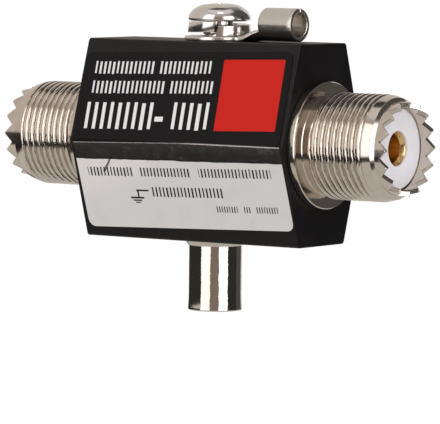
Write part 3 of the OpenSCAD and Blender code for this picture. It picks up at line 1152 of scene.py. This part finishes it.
    def dress(self, nickel: Material, white: Material, gold: Material) -> None:
        """Adds the socket's pieces with their finishes."""
        name = self.side.value
        parts = (
            ("socket_shell", self.build_shell(), "shell", "nickel_plate", nickel, 32),
            ("dielectric", self.build_insulator(), "insulator", "white_dielectric", white, 40),
            ("centre_contact", self.build_contact(), "contact", "gold_plate", gold, 32),
        )
        for piece, mesh, node, slot, finish, sharp in parts:
            if self.side is Side.LEFT:
                mesh.transform(Matrix.Rotation(math.pi, 4, "Z"))
            self.piece(f"{name}_{piece}", mesh, "housing", f"{name}_{node}", slot, finish, sharp)
        self.dress_node(f"{name}_retaining_ring", nickel)


@dataclass
class TubeCap(SubAssembly):
    """The polished screw cap below the block."""

    x: float = 0.25
    body_bottom: float = -15.0
    r: float = 4.0
    length: float = 10.6
    collar_r: float = 4.75
    collar_low_r: float = 4.15
    collar_h: float = 0.75
    collar_groove: tuple[float, float] = (0.05, 0.06)
    collar_edge: tuple[float, float, float] = (0.05, 0.06, 0.02)
    shank_r: float = 3.95
    shank_top: float = -6.7
    shank_neck: float = 0.3
    thread: ThreadForm = ThreadForm(0.75, 0.4)
    cup_r: float = 3.0
    cup_floor: float = -20.5
    slot_l: float = 5.8
    slot_w: float = 1.2
    slot_depth: float = 1.4
    slot_bevel: float = 0.1
    bevel: float = 0.2
    flare: float = 0.1
    flare_l: float = 2.4

    def build(self) -> Mesh:
        """Cap with its flared end and slot, bevelled collar, threaded shank and cup."""
        end, bottom = self.body_bottom - self.length, self.body_bottom
        collar = bottom - self.collar_h
        groove_r, groove_h = self.collar_groove
        edge_r, edge_h, lip_h = self.collar_edge
        wide = self.r + self.flare - self.bevel
        profile = [(0, end), (wide, end)]
        profile += arc((wide, end + self.bevel), self.bevel, -90, 0, 5)[1:]
        for t in np.linspace(0.1, 1.0, 10):
            profile.append((self.r + self.flare * (1 - t) ** 2, end + self.bevel + self.flare_l * t))
        profile += [
            (self.r, collar - groove_h), (self.r + groove_r, collar), (self.collar_low_r, collar),
            (self.collar_r - edge_r, bottom - edge_h), (self.collar_r, bottom - lip_h),
            (self.collar_r - edge_r, bottom), (self.shank_r - self.thread.depth, bottom),
        ]
        rows = Lathe(circle(128))
        rows.add_all(profile)
        rows.add_thread(self.thread, self.shank_r, bottom + self.shank_neck, self.shank_top)
        rows.add_all([(self.cup_r, self.shank_top), (self.cup_r, self.cup_floor), (0, self.cup_floor)])
        half, reach, top = self.slot_w / 2, self.slot_l / 2, end + self.slot_depth
        soft, spare = self.slot_bevel, 1.0
        outline = [
            (-half, end - spare), (half, end - spare), (half, top - soft),
            (half - soft, top), (soft - half, top), (-half, top - soft),
        ]
        slot = np.array([[(self.x + side * reach, y, z) for y, z in outline] for side in (-1, 1)])
        cap = rows.skin("cap", Axis.UPRIGHT, self.x)
        return carved(cap, [woven("slot", slot, loop=False, capped=True)])

    def dress(self, polished: Material) -> None:
        """Adds the cap with its finish."""
        self.piece("cap_polished", self.build(), "tube_cap", "tube_cap", "polished_nickel", polished, 32)


@dataclass
class GroundHardware(SubAssembly):
    """Ground screw, split lock washer and ring lug on top of the block."""

    x: float = 0.55
    body_top: float = 15.0
    head_seat: float = 17.95
    head_r: float = 4.7
    head_h: float = 2.65
    rim_h: float = 0.35
    rim_curl: float = 0.5
    dome_spread: float = 2.7
    dome_drop: float = 0.55
    screw_r: float = 2.45
    screw_l: float = 8.0
    screw_neck: float = 0.4
    thread: ThreadForm = ThreadForm(0.8, 0.42)
    recess_r: float = 2.3
    recess_h: float = 1.7
    recess_w: float = 0.95
    recess_tip: tuple[float, float] = (0.42, 0.8)
    recess_foot: tuple[float, float] = (0.55, 0.86)
    recess_foot_h: float = 0.2
    washer_r: float = 4.75
    washer_hole_r: float = 2.7
    washer_t: float = 1.6
    washer_rise: float = 0.65
    washer_edge: float = 0.14
    washer_taper: float = 0.13
    washer_twist: float = 13.0
    split_angle: float = -64.0
    split_gap: float = 4.0
    split_slant: float = 4.0
    lug_t: float = 0.7
    lug_r: float = 5.25
    lug_hole_r: float = 2.7
    lug_turn: float = -2.3
    lug_edge: float = 0.2
    fillet_r: float = 1.2
    neck_start: float = 5.2
    neck_angle: float = 66.0
    barrel_start: float = 8.85
    barrel_l: float = 6.05
    barrel_r: float = 2.5
    barrel_lift: float = 0.15
    seam_angle: float = 178.1
    flat_angle: float = 0.5
    neck_cells: int = 16

    def __post_init__(self) -> None:
        """Works out the places where the lug's ring, neck and barrel meet."""
        self.lug_z = self.body_top + self.lug_t / 2
        self.wall_r = self.barrel_r - self.lug_t / 2
        self.neck_half = self.wall_r * math.radians(self.neck_angle)
        self.fillet_y = self.neck_half + self.fillet_r
        self.fillet_x = math.sqrt((self.lug_r + self.fillet_r) ** 2 - self.fillet_y**2)
        self.neck_shares = [2 * j / self.neck_cells - 1 for j in range(self.neck_cells + 1)]

    def build_screw(self) -> Mesh:
        """Pan head screw with a cross recess and a cut thread."""
        base, steps = self.head_seat + self.rim_h, 24
        rows = Lathe(circle(96))
        for k in range(steps + 1):
            t = math.sin(math.pi / 2 * k / steps)
            dome = (1 - t**self.dome_spread) ** self.dome_drop
            rows.add(self.head_r * t, base + (self.head_h - self.rim_h) * dome)
        for a in np.radians(np.linspace(15, 90, 6)):
            rows.add(self.head_r - self.rim_curl * (1 - math.cos(a)), base - self.rim_h * math.sin(a))
        rows.add(self.screw_r - self.thread.depth, self.head_seat)
        end = self.head_seat - self.screw_l
        rows.add_thread(self.thread, self.screw_r, self.head_seat - self.screw_neck, end)
        rows.add(0.0, end)
        r, half, depth = self.recess_r, self.recess_w / 2, -self.recess_h
        levels = (
            (r * self.recess_tip[0], half * self.recess_tip[1], depth),
            (r * self.recess_foot[0], half * self.recess_foot[1], depth + self.recess_foot_h),
            (r, half, 0.0), (r * 1.05, half, 0.5),
        )
        outline = ((-1, -1), (1, -1), (1, 1), (-1, 1))
        points = np.array([[(u * w, v * t, h) for u, v in outline] for w, t, h in levels])
        arms = []
        for turn in (45, 135):
            arm = woven("arm", points, loop=False, capped=True)
            arm.transform(placed(self.x, self.head_seat + self.head_h, turn))
            arms.append(arm)
        return carved(rows.skin("screw", Axis.UPRIGHT, self.x), arms)

    def build_washer(self) -> Mesh:
        """Split ring that climbs from one side of its cut to the other."""
        e, inner, outer, t = self.washer_edge, self.washer_hole_r, self.washer_r, self.washer_t
        section = (
            arc((inner + e, e), e, 180, 270, 3) + arc((outer - e, e), e, 270, 360, 3)
            + arc((outer - e - self.washer_taper, t - e), e, 0, 90, 3)
            + arc((inner + e, t - e), e, 90, 180, 3)
        )
        rows = []
        steps = 96
        for i in range(steps + 1):
            share = i / steps
            low = self.split_angle + self.split_gap / 2 + (360 - self.split_gap) * share
            bottom = self.body_top + self.lug_t + self.washer_rise * share
            # Only the last fifth of the ring is twisted.
            twist = math.tan(math.radians(self.washer_twist)) * max(0.0, share * 5 - 4)
            ring = []
            for r, h in section:
                a = math.radians(low + self.split_slant * h / t)
                r -= twist * (t - h) * (r - inner) / (outer - inner)
                ring.append((self.x + r * math.cos(a), r * math.sin(a), bottom + h))
            rows.append(ring)
        return woven("washer", np.array(rows), loop=False, capped=True)

    def _add_ring(self, sheet: Sheet) -> list[int]:
        """Adds the lug's flat ring and returns the numbers of the points that its neck starts from."""
        rings, steps, fillet_steps = 6, 56, 4
        tangent = math.degrees(math.atan2(self.fillet_y, self.fillet_x))
        root = math.degrees(math.atan2(self.neck_half, self.fillet_x))
        columns = [(root * share, (self.fillet_x, self.neck_half * share)) for share in self.neck_shares]
        fillet = arc((self.fillet_x, self.fillet_y), self.fillet_r, 270, 180 + tangent, fillet_steps)[1:]
        side = [(root + (tangent - root) * (k + 1) / fillet_steps, p) for k, p in enumerate(fillet)]
        columns += side
        for k in range(1, steps):
            a = tangent + (360 - 2 * tangent) * k / steps
            columns.append((a, on_circle(self.lug_r, a)))
        columns += [(-a, (px, -py)) for a, (px, py) in reversed(side)]
        row: list[int] = []
        for i in range(rings):
            share = i / (rings - 1)
            points = []
            for a, (ox, oy) in columns:
                ix, iy = on_circle(self.lug_hole_r, a)
                points.append((ix + (ox - ix) * share, iy + (oy - iy) * share, self.lug_z))
            previous, row = row, sheet.row(points)
            if previous:
                sheet.join(previous, row, closed=True)
        return row[: self.neck_cells + 1]

    def _add_neck(self, sheet: Sheet, start: list[int]) -> list[int]:
        """Adds the neck that curls up, from the points of its start, and returns those of its end."""
        stations, row = 14, start
        for i in range(1, stations + 1):
            x = self.fillet_x + (self.barrel_start - self.fillet_x) * i / stations
            t = (x - self.neck_start) / (self.barrel_start - self.neck_start)
            t = t * t * (3 - 2 * t)
            half = math.radians(self.flat_angle + (self.neck_angle - self.flat_angle) * t)
            r = self.neck_half / half
            points = []
            for share in self.neck_shares:
                a = half * share
                points.append((x, r * math.sin(a), self.lug_z + self.barrel_lift * t + r - r * math.cos(a)))
            previous, row = row, sheet.row(points)
            sheet.join(previous, row)
        return row

    def _add_barrel(self, sheet: Sheet, start: list[int]) -> None:
        """Adds the rolled barrel, whose floor starts at the neck's end."""
        stations, wing_steps = 6, 14
        curl = self.seam_angle - self.neck_angle
        wing = [self.neck_angle + curl * k / wing_steps for k in range(1, wing_steps + 1)]
        far_wing = [-a for a in reversed(wing)]
        floor = [self.neck_angle * share for share in self.neck_shares]
        axis_z = self.body_top + self.barrel_lift + self.barrel_r

        def bent(x: float, around: list[float]) -> list[int]:
            """Adds points of the barrel's wall at angles from its floor."""
            angles = [math.radians(degrees) for degrees in around]
            return sheet.row(
                [(x, self.wall_r * math.sin(a), axis_z - self.wall_r * math.cos(a)) for a in angles]
            )

        row = bent(self.barrel_start, far_wing) + start + bent(self.barrel_start, wing)
        for i in range(1, stations + 1):
            x = self.barrel_start + self.barrel_l * i / stations
            previous, row = row, bent(x, far_wing + floor + wing)
            sheet.join(previous, row)

    def build_lug(self) -> Mesh:
        """Stamped lug: flat ring, neck that curls up and rolled barrel with a butt seam."""
        sheet = Sheet()
        neck = self._add_ring(sheet)
        end = self._add_neck(sheet, neck)
        self._add_barrel(sheet, end)
        lug = sheet.thickened("lug", self.lug_t, self.lug_edge)
        lug.transform(placed(self.x, 0.0, self.lug_turn))
        return lug

    def dress(self, plated: Material, tinned: Material) -> None:
        """Adds the screw, the washer and the lug with their finishes."""
        for name, mesh, node, slot, finish, sharp in (
            ("screw_plated", self.build_screw(), "ground_screw", "plated_steel", plated, 32),
            ("split_washer", self.build_washer(), "lock_washer", "plated_steel", plated, 40),
            ("ring_lug", self.build_lug(), "ground_lug", "tin_plate", tinned, 40),
        ):
            self.piece(name, mesh, node, node, slot, finish, sharp)


@dataclass
class InnerParts(SubAssembly):
    """Inner conductor, gas tube and spring, which keep their CAD shapes."""

    def dress(
        self,
        brass: Material,
        ceramic: Material,
        metal: Material,
        wire: Material,
    ) -> None:
        """Gives the inner parts their finishes."""
        self.dress_node("inner_conductor", brass)
        self.dress_node("gas_tube_ceramic", ceramic)
        self.dress_node("gas_tube_top_electrode", metal)
        self.dress_node("gas_tube_bottom_electrode", metal)
        self.dress_node("tube_spring", wire)


# Studio


@dataclass(frozen=True)
class Panel:
    """A part of the studio as the metal sees it, in degrees round from the front and up."""

    left: float
    right: float
    low: float
    high: float
    colour: Colour
    soft: float = 4.0


@dataclass
class Studio:
    """Floor, soft light, backdrop and camera."""

    floor_z: float = -56.0
    floor_r: float = 100.0
    azimuth: float = 34.8
    elevation: float = 4.116
    roll: float = 0.604
    distance: float = 648.13
    target: tuple[float, float, float] = (0.968, 0.0, -10.823)
    lens: float = 352.118
    sensor: float = 36.0
    fill: float = 0.15
    floor_fade: tuple[float, float] = (45.0, 95.0)
    floor_colour: Colour = (0.86, 0.86, 0.85)
    floor_mirrored: Colour = (0.62, 0.60, 0.57)
    lamp_place: tuple[float, float, float] = (100.0, -150.0, 500.0)
    lamp_w: float = 500.0
    lamp_power: float = 1.6
    surround: Colour = (0.3, 0.29, 0.28)
    panels: tuple[Panel, ...] = (
        Panel(-190, 190, -100, -26, (0.70, 0.66, 0.62), 3),
        Panel(-45, 70, -80, -36, (0.95, 0.91, 0.87), 8),
        Panel(-190, -95, -26, 30, (0.85, 0.84, 0.82), 8),
        Panel(160, 190, -26, 30, (0.85, 0.84, 0.82), 8),
        Panel(-160, -30, -1, 60, (0.68, 0.62, 0.57), 4),
        Panel(-30, 93, 34, 62, (0.48, 0.43, 0.39), 6),
        Panel(93, 190, -12, 60, (0.10, 0.095, 0.09), 8),
        Panel(-190, 190, 62, 100, (0.82, 0.79, 0.77), 10),
        Panel(-190, -105, 60, 80, (0.05, 0.05, 0.05), 6),
        Panel(20, 62, 66, 80, (2.2, 2.2, 2.2), 4),
        Panel(-135, 135, -26, -14, (0.02, 0.019, 0.018), 3),
        Panel(-135, -30, -16, -1, (0.04, 0.036, 0.033), 3),
        Panel(11.5, 50, -14, 34, (0.30, 0.23, 0.20), 3),
        Panel(90, 138, -26, 20, (0.04, 0.038, 0.035), 5),
        Panel(-30, 11.5, -15, 52, (1.75, 1.75, 1.75), 3),
        Panel(50, 89.5, -15, 34, (2.6, 2.6, 2.6), 3),
    )

    def build_world(self) -> None:
        """White for the camera; softboxes, dark cards and the pale surroundings for everything else."""
        world = bpy.data.worlds.new("studio")
        bpy.context.scene.world = world
        world.use_nodes = True
        graph = Graph(world.node_tree)
        towards = graph.node("ShaderNodeTexCoord").out("Generated")
        split = graph.node("ShaderNodeSeparateXYZ", inputs={0: towards})
        x, y, z = split, split.out(1), split.out(2)
        degrees = 180 / math.pi
        around = graph.node("ShaderNodeMath", {"operation": "ARCTAN2"}, {0: x, 1: y * -1.0}) * degrees
        up = graph.node("ShaderNodeMath", {"operation": "ARCSINE"}, {0: z}) * degrees
        seen: Paint = self.surround
        for panel in self.panels:
            across = around.within(panel.left, panel.right, panel.soft)
            upright = up.within(panel.low, panel.high, panel.soft)
            seen = graph.blend(across * upright, seen, panel.colour)
        path = graph.node("ShaderNodeLightPath")
        plain = path.out("Is Camera Ray").most(path.out("Is Transmission Ray"))
        level = 1.0 + (1.0 - path.out("Is Glossy Ray")) * self.fill
        lit = graph.node("ShaderNodeVectorMath", {"operation": "SCALE"}, {0: seen, "Scale": level})
        glow = graph.node("ShaderNodeBackground", inputs={"Color": graph.blend(plain, lit, (1.0, 1.0, 1.0))})
        graph.node("ShaderNodeOutputWorld", inputs={"Surface": glow})

    def build_floor(self) -> None:
        """Pale round floor that fades into the white backdrop."""
        profile = [(r, self.floor_z) for r in np.linspace(0, self.floor_r, 12)]
        floor = bpy.data.objects.new("floor", lathed("floor", profile, 96, Axis.UPRIGHT))
        bpy.context.scene.collection.objects.link(floor)
        made = bpy.data.materials.new("pale_floor")
        made.use_nodes = True
        graph = Graph(made.node_tree)
        _, x, y, _ = graph.place()
        away = (x * x + y * y) ** 0.5
        path = graph.node("ShaderNodeLightPath")
        mirror = path.out("Is Glossy Ray")
        far = path.out("Is Camera Ray") * away.rise(*self.floor_fade)
        fade = far.most(mirror).most(path.out("Is Transmission Ray"))
        colour = graph.blend(mirror, (1.0, 1.0, 1.0), self.floor_mirrored)
        pale = graph.node("ShaderNodeBsdfDiffuse", inputs={"Color": (*self.floor_colour, 1.0)})
        white = graph.node("ShaderNodeEmission", inputs={"Color": colour})
        mixed = graph.node("ShaderNodeMixShader", inputs={0: fade, 1: pale, 2: white})
        graph.node("ShaderNodeOutputMaterial", inputs={"Surface": mixed})
        floor.data.materials.append(made)

    def build_lamp(self) -> None:
        """Soft lamp overhead for the floor and the dull surfaces."""
        lamp = bpy.data.lights.new("overhead", "AREA")
        lamp.shape, lamp.size, lamp.energy = "DISK", self.lamp_w * MM, self.lamp_power
        item = bpy.data.objects.new("overhead", lamp)
        item.location = Vector(self.lamp_place) * MM
        item.rotation_euler = (Vector((0, 0, 0)) - item.location).to_track_quat("-Z", "Y").to_euler()
        item.visible_glossy = False
        bpy.context.scene.collection.objects.link(item)

    def build_camera(self) -> None:
        """Camera at the photograph's viewing angle."""
        a, e, roll = (math.radians(d) for d in (self.azimuth, self.elevation, self.roll))
        back = Vector((math.sin(a) * math.cos(e), -math.cos(a) * math.cos(e), math.sin(e)))
        flat_right = Vector((math.cos(a), math.sin(a), 0))
        flat_up = flat_right.cross(-back)
        right = flat_right * math.cos(roll) + flat_up * math.sin(roll)
        up = flat_up * math.cos(roll) - flat_right * math.sin(roll)
        camera = bpy.data.cameras.new("camera")
        camera.lens, camera.sensor_width = self.lens, self.sensor
        item = bpy.data.objects.new("camera", camera)
        place = Matrix((right, up, back)).transposed().to_4x4()
        place.translation = (Vector(self.target) + back * self.distance) * MM
        item.matrix_world = place
        bpy.context.scene.collection.objects.link(item)
        bpy.context.scene.camera = item

    def build(self) -> None:
        """Sets up the whole studio."""
        bpy.context.scene.view_settings.view_transform = "Standard"
        self.build_world()
        self.build_floor()
        self.build_lamp()
        self.build_camera()


def main() -> None:
    """Builds the pieces around the frame."""
    logging.basicConfig(level=logging.INFO, format="%(message)s")
    for item in list(bpy.data.objects):
        bpy.data.objects.remove(item)
    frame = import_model()

    paint = SatinPaint("black_paint").material()
    label = LabelPrint("label_foil_print").material()
    nickel = TurnedMetal("nickel_turned").material()
    polished = TurnedMetal(
        "nickel_polished", (0.64, 0.60, 0.54), (0.58, 0.53, 0.46), 0.05, 0.0004, 0.03, Axis.UPRIGHT, TubeCap.x
    ).material()
    white = WhiteDielectric("white_plastic").material()
    gold = TurnedMetal("gold_plated", (0.74, 0.52, 0.25), (0.58, 0.36, 0.14), 0.2, 0.002).material()
    brass = TurnedMetal("brass_turned", (0.66, 0.48, 0.20), (0.50, 0.33, 0.12), 0.3, 0.004).material()
    ceramic = FiredCeramic("ceramic_fired").material()
    electrode = TurnedMetal(
        "electrode_plated", (0.55, 0.54, 0.52), (0.42, 0.40, 0.38), 0.3, 0.003, 0.01, Axis.UPRIGHT, TubeCap.x
    ).material()
    wire = SheetMetal("spring_wire", (0.5, 0.5, 0.5), (0.34, 0.33, 0.32), 0.3, 0.01).material()
    plated = SheetMetal("steel_plated", (0.72, 0.69, 0.66), (0.54, 0.50, 0.46), 0.16, 0.02).material()
    tinned = SheetMetal("tin_plated", (0.68, 0.645, 0.60), (0.54, 0.50, 0.45), 0.22, 0.02).material()

    block = Block(frame)
    block.dress(paint, label)
    sockets = [SocketEnd(frame, side=side) for side in Side]
    for socket in sockets:
        socket.dress(nickel, white, gold)
    cap = TubeCap(frame)
    cap.dress(polished)
    ground = GroundHardware(frame)
    ground.dress(plated, tinned)
    inner = InnerParts(frame)
    inner.dress(brass, ceramic, electrode, wire)
    for group in (block, *sockets, cap, ground, inner):
        for name in group.made:
            LOG.info("piece %s of %s", name, type(group).__name__)

    Studio().build()


if __name__ == "__main__":
    main()
